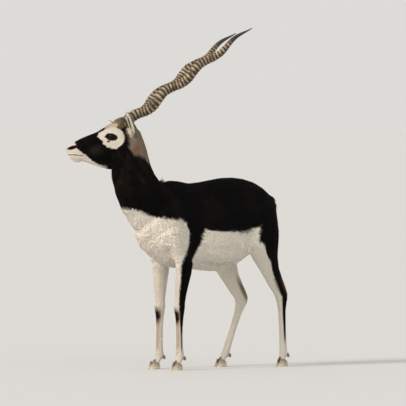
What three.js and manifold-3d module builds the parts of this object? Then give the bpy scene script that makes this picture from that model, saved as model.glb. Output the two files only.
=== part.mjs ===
// An adult male blackbuck, standing, as a life-size still model.
// Millimetres, +Z up. The body faces -Y, its left side is +X and the floor is Z = 0.
// While it is being shaped, X = 0 is the body's own middle plane and Y = 0 lies under
// the withers. The last lines centre the whole over the origin.

import * as THREE from 'three';
import { mergeVertices } from 'three/addons/utils/BufferGeometryUtils.js';
import Module from 'manifold-3d';

const wasm = await Module();
wasm.setup();

// Driving dimensions
const WITHERS_HEIGHT = 780;
const CROUP_HEIGHT = 786;
const BRISKET_HEIGHT = 410;
const HEAD_YAW = -24;
const HEAD_PITCH = 17;
const HEAD_ROLL = -4;
const EYE_MIDPOINT = new THREE.Vector3(-61, -213, 963);
const EYE_RADIUS = 19;
const EYE_SPREAD = 37.5;
const EAR_LENGTH = 124;
const EAR_WALL = 3;
const EAR_STUMP = 20;
const HORN_RADIUS = 20.5;
const HORN_TURNS = 3.64;
const HORN_PHASE = 111;
const HORN_SWING = 11.2;
const HORN_RIDGES = 24;
const HORN_RIDGE = 0.045;
const HORN_SMOOTH_FROM = 0.84;
const HORN_SOCKET = 1.6;
const TAIL_LENGTH = 150;
const HOOF_LENGTH = 50;
const HOOF_HEIGHT = 28;
const HOOF_LEAN = 15;
const HOOF_SPREAD = 10;
const GAP = 0.3;

const SIDES = [{ name: 'left', sign: 1 }, { name: 'right', sign: -1 }];
const X_AXIS = new THREE.Vector3(1, 0, 0);
const BACKWARD = new THREE.Vector3(0, 1, 0);
const DOWNWARD = new THREE.Vector3(0, 0, -1);
const CUT_SIZE = 900;

// Coat and surface colours
const BLACK_COAT = { color: 0x14110f, roughness: 0.8, metalness: 0 };
const WHITE_COAT = { color: 0xe6dcc8, roughness: 0.85, metalness: 0 };
const HORN_SHEATH = { color: 0x6b5a45, roughness: 0.6, metalness: 0 };
const HOOF_WALL = { color: 0x231d18, roughness: 0.5, metalness: 0 };
const EYE_SURFACE = { color: 0x120b08, roughness: 0.1, metalness: 0 };

// Small helpers
const radians = THREE.MathUtils.degToRad;
const lerp = THREE.MathUtils.lerp;

function power(value, exponent) {
  return Math.sign(value) * Math.abs(value) ** exponent;
}

function catmull(a, b, c, d, t) {
  const bend = 2 * a - 5 * b + 4 * c - d;
  const twist = -a + 3 * b - 3 * c + d;
  return 0.5 * (2 * b + (c - a) * t + bend * t * t + twist * t * t * t);
}

// A row of numbers read smoothly between the rows of a table, at t from 0 to 1.
function readTable(table, t) {
  const place = t * (table.length - 1);
  const index = Math.min(Math.floor(place), table.length - 2);
  const pick = (offset) => table[THREE.MathUtils.clamp(index + offset, 0, table.length - 1)];
  const [a, b, c, d] = [pick(-1), pick(0), pick(1), pick(2)];
  return b.map((value, column) => catmull(a[column], value, c[column], d[column], place - index));
}

// A closed grid of rings between two end points, taken from a sphere's own grid.
// place(row, angle) gives the point of ring number row at an angle in radians. Seen
// along the way from the start to the end, the angle turns clockwise.
function ringSolid(rows, sides, place, startPoint, endPoint) {
  const geometry = new THREE.SphereGeometry(1, sides, rows + 1);
  const position = geometry.attributes.position;
  for (let line = 0; line <= rows + 1; line += 1) {
    for (let step = 0; step <= sides; step += 1) {
      const angle = 2 * Math.PI * (step % sides) / sides;
      let point = line === 0 ? startPoint : endPoint;
      if (line > 0 && line <= rows) {
        point = place(line - 1, angle);
      }
      position.setXYZ(line * (sides + 1) + step, point.x, point.y, point.z);
    }
  }
  return geometry;
}

// A section of a body is one row of a table: x, y, z of its centre, half width, reach
// on the plus side, reach on the minus side, taper of the width towards the plus side,
// and squareness (2 is an ellipse). The plus side is up on the trunk and head, the
// throat on the neck and the back of a leg.
function sectionPoint(values, across, outward, angle) {
  const [x, y, z, half, plus, minus, taper, square] = values;
  const rise = power(Math.sin(angle), 2 / square);
  const side = power(Math.cos(angle), 2 / square);
  const reach = rise > 0 ? plus : minus;
  const width = half * (1 + taper * rise);
  return new THREE.Vector3(x, y, z)
    .addScaledVector(across, width * side)
    .addScaledVector(outward, reach * rise);
}

function headingAt(table, t) {
  const step = 0.02;
  const before = readTable(table, Math.max(0, t - step));
  const after = readTable(table, Math.min(1, t + step));
  return new THREE.Vector3(after[0] - before[0], after[1] - before[1], after[2] - before[2]);
}

// A smooth body through a table of sections. Its sections stand square to the given
// heading, or else to its own centre line.
function loft(table, rows, sides, heading = null) {
  const share = (row) => row / (rows - 1);
  const centre = (row) => new THREE.Vector3(...readTable(table, share(row)).slice(0, 3));
  const place = (row, angle) => {
    const along = heading ?? headingAt(table, share(row));
    const outward = new THREE.Vector3().crossVectors(X_AXIS, along).normalize();
    return sectionPoint(readTable(table, share(row)), X_AXIS, outward, angle);
  };
  return ringSolid(rows, sides, place, centre(0), centre(rows - 1));
}

const widened = (table, extra) => table.map((row) => [
  ...row.slice(0, 3), ...row.slice(3, 6).map((value) => value + extra), ...row.slice(6),
]);

function ellipsoid(centre, radii, turn = [0, 0, 0], detail = [10, 6]) {
  const geometry = new THREE.SphereGeometry(1, ...detail);
  geometry.scale(...radii);
  const rotation = new THREE.Matrix4().makeRotationFromEuler(new THREE.Euler(...turn.map(radians)));
  geometry.applyMatrix4(rotation);
  geometry.translate(...centre);
  return geometry;
}

// A large box whose near face passes through a point, on the far side of it.
function beyond(point, direction) {
  const geometry = new THREE.BoxGeometry(CUT_SIZE, CUT_SIZE, CUT_SIZE);
  geometry.translate(0, 0, CUT_SIZE / 2);
  const turn = new THREE.Quaternion();
  turn.setFromUnitVectors(new THREE.Vector3(0, 0, 1), direction.clone().normalize());
  geometry.applyQuaternion(turn);
  geometry.translate(point.x, point.y, point.z);
  return solid(geometry);
}

// A limb cut across at a point: the part beyond the cut, the stump that stays with the
// body, and the room that the body leaves for the free part.
function cutLimb(shape, wider, point, direction) {
  const clear = point.clone().addScaledVector(direction.clone().normalize(), GAP);
  return {
    free: shape.intersect(beyond(clear, direction)),
    stump: shape.subtract(beyond(point, direction)),
    room: wider.intersect(beyond(point, direction)),
  };
}

// Between drawn meshes and solids that can be joined and cut
function solid(geometry) {
  const bare = geometry.clone();
  bare.deleteAttribute('normal');
  bare.deleteAttribute('uv');
  const merged = mergeVertices(bare, 1e-4);
  return new wasm.Manifold(new wasm.Mesh({
    numProp: 3,
    vertProperties: new Float32Array(merged.attributes.position.array),
    triVerts: new Uint32Array(merged.index.array),
  }));
}

function joined(...geometries) {
  return geometries.map(solid).reduce((whole, next) => whole.add(next));
}

function drawn(shape) {
  const mesh = shape.getMesh();
  const geometry = new THREE.BufferGeometry();
  geometry.setAttribute('position', new THREE.Float32BufferAttribute(mesh.vertProperties, 3));
  geometry.setIndex(new THREE.Uint32BufferAttribute(mesh.triVerts, 1));
  return geometry;
}

// The trunk: y, back line, belly line, height of the widest part, half width, taper, squareness
const TRUNK = [
  [-114, 630, 566, 598, 28, 0, 2],
  [-92, 686, 516, 594, 61, -0.05, 2],
  [-40, 738, 466, 590, 82, -0.15, 2.1],
  [15, WITHERS_HEIGHT, 434, 585, 92, -0.28, 2.1],
  [75, WITHERS_HEIGHT + 5, BRISKET_HEIGHT + 10, 575, 100, -0.3, 2.1],
  [150, WITHERS_HEIGHT - 7, BRISKET_HEIGHT + 4, 570, 110, -0.26, 2.15],
  [230, WITHERS_HEIGHT + 1, BRISKET_HEIGHT - 4, 570, 117, -0.2, 2.2],
  [310, CROUP_HEIGHT + 6, BRISKET_HEIGHT - 8, 580, 116, -0.16, 2.2],
  [390, CROUP_HEIGHT + 7, BRISKET_HEIGHT + 26, 600, 108, -0.14, 2.2],
  [460, CROUP_HEIGHT - 6, 478, 620, 98, -0.12, 2.2],
  [520, CROUP_HEIGHT - 34, 510, 630, 84, -0.1, 2.1],
  [562, CROUP_HEIGHT - 68, 540, 635, 62, -0.05, 2],
  [578, CROUP_HEIGHT - 98, 590, 640, 34, 0, 2],
];

function uprightSection([y, top, bottom, middle, half, taper, square]) {
  return [0, y, middle, half, top - middle, middle - bottom, taper, square];
}

// The neck, from inside the chest up to the nape
const NECK = [
  [0, 62, 610, 86, 146, 130, -0.1, 2],
  [0, -14, 664, 82, 142, 104, -0.1, 2],
  [0, -74, 716, 75, 130, 92, -0.1, 2],
  [-1, -117, 772, 67, 115, 90, -0.08, 2],
  [-4, -139, 832, 59, 103, 88, -0.05, 2],
  [-9, -146, 892, 52, 84, 84, 0, 2],
  [-16, -146, 950, 46, 56, 72, 0, 2],
  [-22, -140, 1000, 38, 30, 44, 0, 2],
];

// The head in its own frame: origin between the eyes, nose to -Y, Z square to the line
// of the nose. Columns as on the trunk.
const HEAD = [
  [-190, 3, -20, -8, 11, 0, 2],
  [-184, 13, -36, -12, 20, 0.02, 2.2],
  [-168, 21, -52, -14, 25, 0, 2.3],
  [-142, 28, -57, -12, 26.5, -0.02, 2.3],
  [-112, 33, -77, -10, 29, 0.02, 2.2],
  [-78, 36, -104, -10, 34, 0.05, 2.2],
  [-44, 38, -124, -10, 42, 0.08, 2.2],
  [-12, 46, -137, -10, 50, 0.12, 2.3],
  [20, 53, -140, -14, 53, 0.06, 2.3],
  [52, 58, -130, -18, 51, -0.04, 2.2],
  [84, 56, -108, -20, 46, -0.1, 2.1],
  [108, 40, -80, -18, 37, -0.1, 2],
  [120, 18, -46, -14, 20, 0, 2],
];

const headFrame = new THREE.Matrix4()
  .makeRotationFromEuler(new THREE.Euler(
    radians(HEAD_PITCH), radians(HEAD_ROLL), radians(HEAD_YAW), 'ZXY',
  ))
  .setPosition(EYE_MIDPOINT);
const onHead = (x, y, z) => new THREE.Vector3(x, y, z).applyMatrix4(headFrame);
const alongHead = (x, y, z) => new THREE.Vector3(x, y, z).transformDirection(headFrame);

// Brow, cheek, nostril, horn base and ear base on each side, and the chin
function headSolid() {
  const pads = SIDES.flatMap(({ sign }) => [
    ellipsoid([sign * 35, 0, 8], [18, 33, 26]),
    ellipsoid([sign * 32, 30, -66], [21, 46, 44]),
    ellipsoid([sign * 12, -174, 0], [11, 17, 15], [14, 0, sign * 8], [8, 5]),
    ellipsoid([sign * 25, 64, 38], [24, 34, 22]),
    ellipsoid([sign * 37, 84, -24], [19, 21, 21], [0, 0, 0], [8, 5]),
  ]);
  const chin = ellipsoid([0, -154, -43], [18, 25, 16], [-8, 0, 0], [10, 6]);
  const shell = loft(HEAD.map(uprightSection), 17, 18, BACKWARD);
  return joined(...[shell, chin, ...pads].map((part) => part.applyMatrix4(headFrame)));
}

// The closed mouth is a shallow line along each side of the muzzle.
function mouthLine() {
  const blade = new THREE.BoxGeometry(70, 62, 1.6);
  blade.rotateX(radians(-29));
  blade.translate(0, -164, -26);
  const keep = ellipsoid([0, -142, -24], [22, 48, 40]);
  return solid(blade.applyMatrix4(headFrame)).subtract(solid(keep.applyMatrix4(headFrame)));
}

// Legs are laid out from their joints. A section is bone number, place along the bone,
// half width, reach behind, reach in front, squareness.
const FORELEG = [
  [0, 0.0, 26, 62, 60, 2],
  [0, 0.5, 33, 72, 66, 2],
  [1, 0.0, 33, 62, 60, 2],
  [1, 0.5, 30, 50, 48, 2],
  [2, 0.0, 28, 43, 39, 2.1],
  [2, 0.3, 25, 38, 35, 2.1],
  [2, 0.62, 20.5, 28, 28, 2.1],
  [2, 0.86, 19, 23, 23, 2.2],
  [3, 0.0, 20, 24, 23, 2.4],
  [3, 0.13, 17, 20, 18, 2.4],
  [3, 0.32, 13, 15, 14, 2.3],
  [3, 0.7, 12.5, 14.5, 13, 2.3],
  [3, 0.9, 15, 17, 15, 2.2],
  [4, 0.0, 16.5, 19, 16, 2.2],
  [4, 0.45, 15, 15, 15, 2.2],
  [4, 1.0, 17, 15, 17, 2.2],
];

const HINDLEG = [
  [0, 0.0, 34, 66, 60, 2],
  [0, 0.5, 42, 78, 84, 2],
  [1, 0.0, 45, 74, 98, 2],
  [1, 0.45, 44, 91, 86, 2],
  [1, 0.85, 42, 101, 66, 2],
  [2, 0.1, 38, 90, 58, 2],
  [2, 0.35, 31, 61, 50, 2],
  [2, 0.6, 23, 50, 42, 2],
  [2, 0.8, 18.5, 45, 37, 2.1],
  [2, 0.94, 17.5, 38, 30, 2.2],
  [3, 0.05, 18, 28, 25, 2.3],
  [3, 0.16, 16, 21, 18, 2.4],
  [3, 0.32, 13, 16.5, 15, 2.3],
  [3, 0.72, 12.5, 15.5, 14, 2.3],
  [3, 0.9, 15, 17.5, 15.5, 2.2],
  [4, 0.0, 16.5, 19, 16, 2.2],
  [4, 0.45, 15, 15, 15, 2.2],
  [4, 1.0, 17, 15, 17, 2.2],
];

// Joints of each leg in its pose, from the top down, with x counted outwards, and the
// toe of the hoof along y
const LEGS = [
  {
    name: 'fore_left',
    shape: FORELEG,
    joints: [[62, 20, 640], [82, 18, 545], [84, 62, 440], [73, 45, 258], [69, 50, 54], [69, 36, 20]],
    toe: 8,
  },
  {
    name: 'fore_right',
    shape: FORELEG,
    joints: [[62, 20, 640], [82, 18, 545], [84, 66, 440], [73, 53, 258], [69, 47, 54], [69, 26, 20]],
    toe: -6,
  },
  {
    name: 'hind_left',
    shape: HINDLEG,
    joints: [[40, 480, 690], [60, 488, 620], [84, 448, 500], [66, 583, 292], [68, 592, 52], [68, 582, 20]],
    toe: 558,
  },
  {
    name: 'hind_right',
    shape: HINDLEG,
    joints: [[40, 470, 690], [60, 474, 620], [84, 358, 472], [66, 476, 274], [68, 389, 52], [68, 366, 20]],
    toe: 340,
  },
];
const FORE_CUT = { point: new THREE.Vector3(0, 60, 462), down: new THREE.Vector3(0, 0.12, -1) };
const HIND_CUT = { point: new THREE.Vector3(0, 470, 545), down: new THREE.Vector3(0, 0.4, -1) };

function legSections({ shape, joints }, sign) {
  return shape.map(([bone, t, half, behind, front, square]) => {
    const [from, to] = [joints[bone], joints[bone + 1]];
    const centre = from.map((value, axis) => lerp(value, to[axis], t));
    return [centre[0] * sign, centre[1], centre[2], half, behind, front, 0, square];
  });
}

// The tail hangs from the croup, flat against the buttocks.
const TAIL_ROOT = new THREE.Vector3(0, 572, 706);
const TAIL = [
  [0, 545, 712, 15, 14, 14, 0, 2],
  [0, 570, 706, 15, 14, 12, 0, 2],
  [0, 585, 684, 15, 12, 9, 0, 2],
  [0, 590, TAIL_ROOT.z - TAIL_LENGTH * 0.45, 18, 11, 8, 0, 2],
  [0, 590, TAIL_ROOT.z - TAIL_LENGTH * 0.8, 15, 9, 7, 0, 2],
  [0, 589, TAIL_ROOT.z - TAIL_LENGTH, 5, 4, 4, 0, 2],
];

// An ear in the head's frame: where its root is, where it points and where it opens
const EARS = {
  left: { root: [46, 88, -28], along: [56, -10, 110], opens: [0.3, -0.95, 0] },
  right: { root: [-44, 86, -28], along: [-62, -54, 104], opens: [-0.5, -0.86, 0] },
};

// Along the ear: share of its length, half width and depth
const EAR_SHAPE = [
  [0, 12, 12],
  [0.14, 14, 13],
  [0.32, 17.5, 14],
  [0.5, 20, 13.5],
  [0.68, 19, 12],
  [0.84, 14, 8.5],
  [0.95, 7.5, 5],
  [1, 3.2, 2.4],
];

// A leaf with a rounded back. The front reach is small on the leaf itself and large on
// the hollow that opens it.
function earLeaf({ root, along, opens }, inset, front) {
  const axis = new THREE.Vector3(...along).normalize();
  const face = new THREE.Vector3(...opens);
  face.addScaledVector(axis, -face.dot(axis)).normalize();
  const across = new THREE.Vector3().crossVectors(axis, face);
  const rows = 8;
  const from = inset > 0 ? 0.1 : 0;
  const to = inset > 0 ? 0.96 : 1;
  const place = (row, angle) => {
    const [share, half, depth] = readTable(EAR_SHAPE, lerp(from, to, row / (rows - 1)));
    const centre = new THREE.Vector3(...root).addScaledVector(axis, share * EAR_LENGTH);
    const width = Math.max(half - inset, 0.8);
    const back = Math.max(depth - inset, 0.4);
    const values = [centre.x, centre.y, centre.z, width, front, back, 0, 2];
    return sectionPoint(values, across, face, angle);
  };
  const middle = (row) => place(row, 0).add(place(row, Math.PI)).multiplyScalar(0.5);
  return ringSolid(rows, 10, place, middle(0), middle(rows - 1)).applyMatrix4(headFrame);
}

function earLimb(ear) {
  const hollow = solid(earLeaf(ear, EAR_WALL, 30));
  const leaf = solid(earLeaf(ear, 0, 3)).subtract(hollow);
  const wider = solid(earLeaf(ear, -GAP, 3 + GAP));
  const axis = alongHead(...ear.along);
  const cut = onHead(...ear.root).addScaledVector(axis, EAR_STUMP);
  return cutLimb(leaf, wider, cut, axis);
}

// A horn winds round a straight line from inside the head to its tip.
const HORN_ROOT = [24, 71.5, 31];
const HORN_TIP = [165, 675, 260];
const HORN_TAPER = [1, 1.02, 1.01, 0.99, 0.96, 0.91, 0.82, 0.64, 0.38, 0.07].map((share) => [share]);

function hornLine(sign) {
  const start = onHead(HORN_ROOT[0] * sign, HORN_ROOT[1], HORN_ROOT[2]);
  const axis = onHead(HORN_TIP[0] * sign, HORN_TIP[1], HORN_TIP[2]).sub(start);
  const outward = alongHead(sign, 0, 0);
  outward.addScaledVector(axis, -outward.dot(axis) / axis.lengthSq()).normalize();
  const upward = new THREE.Vector3().crossVectors(axis, outward).normalize().multiplyScalar(sign);
  return { start, axis, outward, upward };
}

function hornCentre({ start, axis, outward, upward }, t) {
  const phase = radians(HORN_PHASE) + 2 * Math.PI * HORN_TURNS * t;
  const swing = HORN_SWING * Math.min(1, 0.3 + 5 * t) * (1 - 0.49 * t);
  return start.clone()
    .addScaledVector(axis, t)
    .addScaledVector(upward, swing * Math.cos(phase))
    .addScaledVector(outward, swing * Math.sin(phase));
}

// Every second ring of points is a ridge, as far as the smooth tip.
function hornSolid(sign, grow = 0, reach = 1) {
  const line = hornLine(sign);
  const rows = Math.round(HORN_RIDGES * 2 * reach) + 5;
  const place = (row, angle) => {
    const t = reach * row / (rows - 1);
    const centre = hornCentre(line, t);
    const ahead = hornCentre(line, t + 0.01).sub(hornCentre(line, t - 0.01));
    const across = new THREE.Vector3().crossVectors(ahead, line.upward).normalize();
    const over = new THREE.Vector3().crossVectors(across, ahead).normalize();
    const ridge = row % 2 === 0 || grow > 0 ? HORN_RIDGE : -HORN_RIDGE;
    const ridged = t < HORN_SMOOTH_FROM ? ridge : 0;
    const radius = HORN_RADIUS * readTable(HORN_TAPER, t)[0] * (1 + ridged) + grow;
    return centre
      .addScaledVector(across, radius * Math.cos(angle))
      .addScaledVector(over, radius * Math.sin(angle));
  };
  return solid(ringSolid(rows, 7, place, hornCentre(line, 0), hornCentre(line, reach)));
}

// One half of a cloven hoof. Each level is a share of the height with its half width.
const HOOF_LEVELS = [[0, 11.5], [0.4, 11.3], [0.75, 10.6], [1, 9.4]];

function hoofSolid(middle, toe, side, grow = 0) {
  const centreX = middle + side * HOOF_SPREAD;
  const levelCentre = (share) => {
    const front = toe + HOOF_LEAN * share - grow;
    const heel = toe + HOOF_LENGTH - 3 * share + grow;
    return { y: (front + heel) / 2, reach: (heel - front) / 2 };
  };
  const place = (row, angle) => {
    const [share, half] = HOOF_LEVELS[row];
    const { y, reach } = levelCentre(share);
    const forward = Math.sin(angle);
    const narrowing = forward > 0 ? 1 - 0.5 * forward * forward : 1 - 0.1 * forward * forward;
    const flatInside = Math.cos(angle) * side < 0 ? 0.72 : 1;
    const height = HOOF_HEIGHT * share * (1 + 0.2 * forward) + grow * share;
    return new THREE.Vector3(
      centreX + (half + grow) * narrowing * flatInside * Math.cos(angle),
      y - reach * forward,
      height,
    );
  };
  const start = new THREE.Vector3(centreX, levelCentre(0).y, 0);
  const end = new THREE.Vector3(centreX, levelCentre(1).y, HOOF_HEIGHT + grow);
  return solid(ringSolid(HOOF_LEVELS.length, 10, place, start, end));
}

function dewclawSolid(fetlock, sign, side, grow = 0) {
  const centre = [fetlock[0] * sign + side * 10, fetlock[1] + 18, fetlock[2] - 5];
  const radii = [6 + grow, 6.5 + grow, 10 + grow];
  return solid(ellipsoid(centre, radii, [20, 0, 0], [6, 4]));
}

const root = new THREE.Group();
const model = new THREE.Group();
root.add(model);

function addPart(name, shape, look) {
  const largest = shape.decompose().sort((a, b) => b.volume() - a.volume())[0];
  const mesh = new THREE.Mesh(drawn(largest), new THREE.MeshStandardMaterial(look));
  mesh.name = name;
  model.add(mesh);
}

// A leg stands free of the trunk below its cut and keeps room for its hooves and dewclaws.
function addLeg(leg) {
  const sign = leg.name.endsWith('left') ? 1 : -1;
  const cut = leg.shape === FORELEG ? FORE_CUT : HIND_CUT;
  const sections = legSections(leg, sign);
  const shape = solid(loft(sections, 20, 10, DOWNWARD));
  const wider = solid(loft(widened(sections, GAP), 20, 10, DOWNWARD));
  const limb = cutLimb(shape, wider, cut.point, cut.down);
  const [fetlock, coronet] = leg.joints.slice(4);
  for (const side of [1, -1]) {
    const place = side === sign ? 'outer' : 'inner';
    const middle = coronet[0] * sign;
    limb.free = limb.free.subtract(hoofSolid(middle, leg.toe, side, GAP));
    limb.free = limb.free.subtract(dewclawSolid(fetlock, sign, side, GAP));
    addPart(`hoof_${leg.name}_${place}`, hoofSolid(middle, leg.toe, side), HOOF_WALL);
    addPart(`dewclaw_${leg.name}_${place}`, dewclawSolid(fetlock, sign, side), HOOF_WALL);
  }
  addPart(`leg_${leg.name}`, limb.free, WHITE_COAT);
  return limb;
}

function addTail() {
  const shape = solid(loft(TAIL, 8, 8));
  const wider = solid(loft(widened(TAIL, GAP), 8, 8));
  const limb = cutLimb(shape, wider, TAIL_ROOT, new THREE.Vector3(0, 0.6, -0.8));
  addPart('tail', limb.free, BLACK_COAT);
  return limb;
}

function trunkSolid() {
  const masses = SIDES.flatMap(({ sign }) => [
    ellipsoid([sign * 62, 0, 600], [40, 82, 116], [-14, 0, sign * -6]),
    ellipsoid([sign * 68, -16, 560], [32, 44, 74], [-14, 0, 0]),
    ellipsoid([sign * 54, 440, 706], [38, 90, 56], [-6, 0, 0]),
  ]);
  const trunk = loft(TRUNK.map(uprightSection), 18, 20, BACKWARD);
  return joined(trunk, loft(NECK, 10, 16), ...masses);
}

const eyeBall = (sign, grow = 0) => solid(ellipsoid(
  onHead(EYE_SPREAD * sign, 0, 0).toArray(),
  Array(3).fill(EYE_RADIUS + grow),
  [0, 0, 0],
  [12, 8],
));

// Horns, eyes and ears stay separate from the flesh, which keeps room for them.
function addHeadFeatures(bare) {
  let body = bare.subtract(mouthLine());
  for (const { name, sign } of SIDES) {
    const ear = earLimb(EARS[name]);
    body = body.add(ear.stump).subtract(ear.room);
    body = body.subtract(eyeBall(sign, GAP)).subtract(hornSolid(sign, HORN_SOCKET, 0.14));
    addPart(`ear_${name}`, ear.free, WHITE_COAT);
    addPart(`eye_${name}`, eyeBall(sign), EYE_SURFACE);
    addPart(`horn_${name}`, hornSolid(sign), HORN_SHEATH);
  }
  return body;
}

// One body of flesh
const limbs = [...LEGS.map(addLeg), addTail()];
let flesh = trunkSolid().add(headSolid());
for (const { stump, room } of limbs) {
  flesh = flesh.add(stump).subtract(room);
}
flesh = addHeadFeatures(flesh);

// The flesh is parted at the nape and at the base of the neck.
const nape = onHead(0, 118, 36);
const towardsHead = alongHead(0, -0.8, 0.6);
const neckBase = new THREE.Vector3(0, -8, 782);
const towardsNeck = new THREE.Vector3(0, -0.63, 0.78);
const pastCut = (point, direction) => point.clone().addScaledVector(direction, GAP);
const headless = flesh.subtract(beyond(nape, towardsHead));

addPart('head', flesh.intersect(beyond(pastCut(nape, towardsHead), towardsHead)), BLACK_COAT);
addPart('neck', headless.intersect(beyond(pastCut(neckBase, towardsNeck), towardsNeck)), BLACK_COAT);
addPart('trunk', headless.subtract(beyond(neckBase, towardsNeck)), BLACK_COAT);

// The origin is on the floor, under the middle of the whole.
const bounds = new THREE.Box3().setFromObject(model);
const middle = bounds.getCenter(new THREE.Vector3());
model.position.set(-middle.x, -middle.y, 0);

export default root;
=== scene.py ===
import math

import bmesh
import bpy
import numpy as np
from mathutils import Matrix, Vector
from mathutils.bvhtree import BVHTree


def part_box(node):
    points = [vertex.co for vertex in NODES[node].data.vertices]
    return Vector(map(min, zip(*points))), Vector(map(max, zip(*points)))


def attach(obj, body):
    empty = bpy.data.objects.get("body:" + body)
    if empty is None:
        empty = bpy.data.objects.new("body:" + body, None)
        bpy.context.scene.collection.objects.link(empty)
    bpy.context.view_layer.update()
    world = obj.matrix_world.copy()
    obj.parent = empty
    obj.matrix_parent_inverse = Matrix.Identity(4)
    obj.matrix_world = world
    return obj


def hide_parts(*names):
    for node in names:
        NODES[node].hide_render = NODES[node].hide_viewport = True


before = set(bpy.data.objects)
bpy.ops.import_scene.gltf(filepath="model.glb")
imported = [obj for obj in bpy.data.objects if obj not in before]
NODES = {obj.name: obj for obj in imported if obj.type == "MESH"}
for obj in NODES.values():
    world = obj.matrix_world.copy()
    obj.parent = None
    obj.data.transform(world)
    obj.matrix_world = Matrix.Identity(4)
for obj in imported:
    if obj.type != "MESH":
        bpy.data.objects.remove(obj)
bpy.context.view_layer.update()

# An adult male blackbuck: skin, coat, horns, hooves and eyes.
# The frame is in metres. Shapes are worked out here in millimetres in the shaping space,
# where x = 0 is the body's middle plane, y = 0 lies under the withers, the body faces
# -y, its left side is +x and the floor is z = 0.
BODY = "root"
MM = 0.001

FLESH = ("trunk", "neck", "head", "tail", "ear_left", "ear_right",
         "leg_fore_left", "leg_fore_right", "leg_hind_left", "leg_hind_right")
HEAD_YAW, HEAD_PITCH, HEAD_ROLL = -24, 17, -4
EYE_MIDPOINT = np.array([-61.0, -213.0, 963.0])
EYE_RADIUS = 19.0
EYE_SPREAD = 37.5
SKIN_VOXEL = 0.002
SKIN_TRIANGLES = 186_000


def box_middle(name):
    low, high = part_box(name)
    return np.array((low + high) / 2) / MM


ORIGIN = (box_middle("eye_left") + box_middle("eye_right")) / 2 - EYE_MIDPOINT


def placed(points):
    """Points of the shaping space, in the frame."""
    return (np.asarray(points, float) + ORIGIN) * MM


def shaping(points):
    """Points of the frame, in the shaping space."""
    return np.asarray(points, float) / MM - ORIGIN


head_turn = (Matrix.Rotation(math.radians(HEAD_YAW), 3, "Z")
             @ Matrix.Rotation(math.radians(HEAD_PITCH), 3, "X")
             @ Matrix.Rotation(math.radians(HEAD_ROLL), 3, "Y"))
HEAD_AXES = np.array(head_turn)


def on_head(*point):
    return HEAD_AXES @ np.array(point, float) + EYE_MIDPOINT


def along_head(*way):
    return HEAD_AXES @ np.array(way, float)


def in_head(points):
    return (points - EYE_MIDPOINT) @ HEAD_AXES


# Small helpers

def unit(vectors):
    vectors = np.asarray(vectors, float)
    length = np.linalg.norm(vectors, axis=-1, keepdims=True)
    return vectors / np.maximum(length, 1e-9)


def smooth_step(low, high, value):
    share = np.clip((value - low) / (high - low), 0, 1)
    return share * share * (3 - 2 * share)


def ripple(points, size, seed):
    """Smooth uneven values between about -1 and 1, as wide as size."""
    draw = np.random.default_rng(seed)
    total = np.zeros(len(points))
    for _ in range(7):
        way = unit(draw.normal(size=3)) * 2 * np.pi / size * draw.uniform(0.6, 1.5)
        total += np.sin(points @ way + draw.uniform(0, 2 * np.pi))
    return total / 3.2


def oval(along, across, centre, radii):
    """Distance from a flat ellipse's middle, as a share of its radii."""
    return np.hypot((along - centre[0]) / radii[0], (across - centre[1]) / radii[1])


def bell(value, middle, width):
    return np.exp(-(((value - middle) / width) ** 2))


def linear(colour):
    """A colour written as sRGB hex, in the linear values that nodes take."""
    parts = np.array([int(colour[i:i + 2], 16) / 255 for i in (0, 2, 4)])
    low = parts / 12.92
    high = ((parts + 0.055) / 1.055) ** 2.4
    return np.where(parts <= 0.04045, low, high)


def opaque(colour):
    return (*linear(colour), 1)


def fill(tree, made, inputs):
    """Sets or links a node's inputs."""
    for key, value in inputs.items():
        if isinstance(value, bpy.types.NodeSocket):
            tree.links.new(value, made.inputs[key])
        else:
            made.inputs[key].default_value = value


def node(tree, kind, inputs=None, **settings):
    """Adds a node with its settings and inputs."""
    made = tree.nodes.new(kind)
    for name, value in settings.items():
        setattr(made, name, value)
    fill(tree, made, inputs or {})
    return made


def math_node(tree, operation, a, b):
    return node(tree, "ShaderNodeMath", {0: a, 1: b}, operation=operation).outputs[0]


def times(tree, vector, scale):
    return node(tree, "ShaderNodeVectorMath", {0: vector, "Scale": scale}, operation="SCALE").outputs[0]


def add_object(name, data):
    made = bpy.data.objects.new(name, data)
    bpy.context.scene.collection.objects.link(made)
    return made


def mesh_object(name, points, faces):
    """An object from points of the shaping space."""
    mesh = bpy.data.meshes.new(name)
    mesh.from_pydata(placed(points).tolist(), [], faces)
    mesh.shade_smooth()
    return add_object(name, mesh)


def finished(source, name):
    """What an object's modifiers make of it, as a plain mesh, without the first object."""
    graph = bpy.context.evaluated_depsgraph_get()
    mesh = bpy.data.meshes.new_from_object(source.evaluated_get(graph))
    bpy.data.objects.remove(source)
    mesh.name = name
    return add_object(name, mesh)


def read(items, field, size=1, kind=np.float32):
    """One field of all the items of a mesh, as rows of the given size."""
    flat = np.zeros(len(items) * size, kind)
    items.foreach_get(field, flat)
    return flat.reshape(-1, size) if size > 1 else flat


def side_of(name):
    return 1 if name.endswith("left") else -1


def ring_faces(rows, sides):
    """Faces of a closed grid of rings with one point at each end, first and last."""
    faces = []
    for row in range(rows - 1):
        for side in range(sides):
            a = 1 + row * sides + side
            b = 1 + row * sides + (side + 1) % sides
            faces.append((a, b, b + sides, a + sides))
    last = rows * sides + 1
    for side in range(sides):
        after = (side + 1) % sides
        faces.append((0, 1 + after, 1 + side))
        faces.append((last, last - sides + side, last - sides + after))
    return faces


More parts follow.
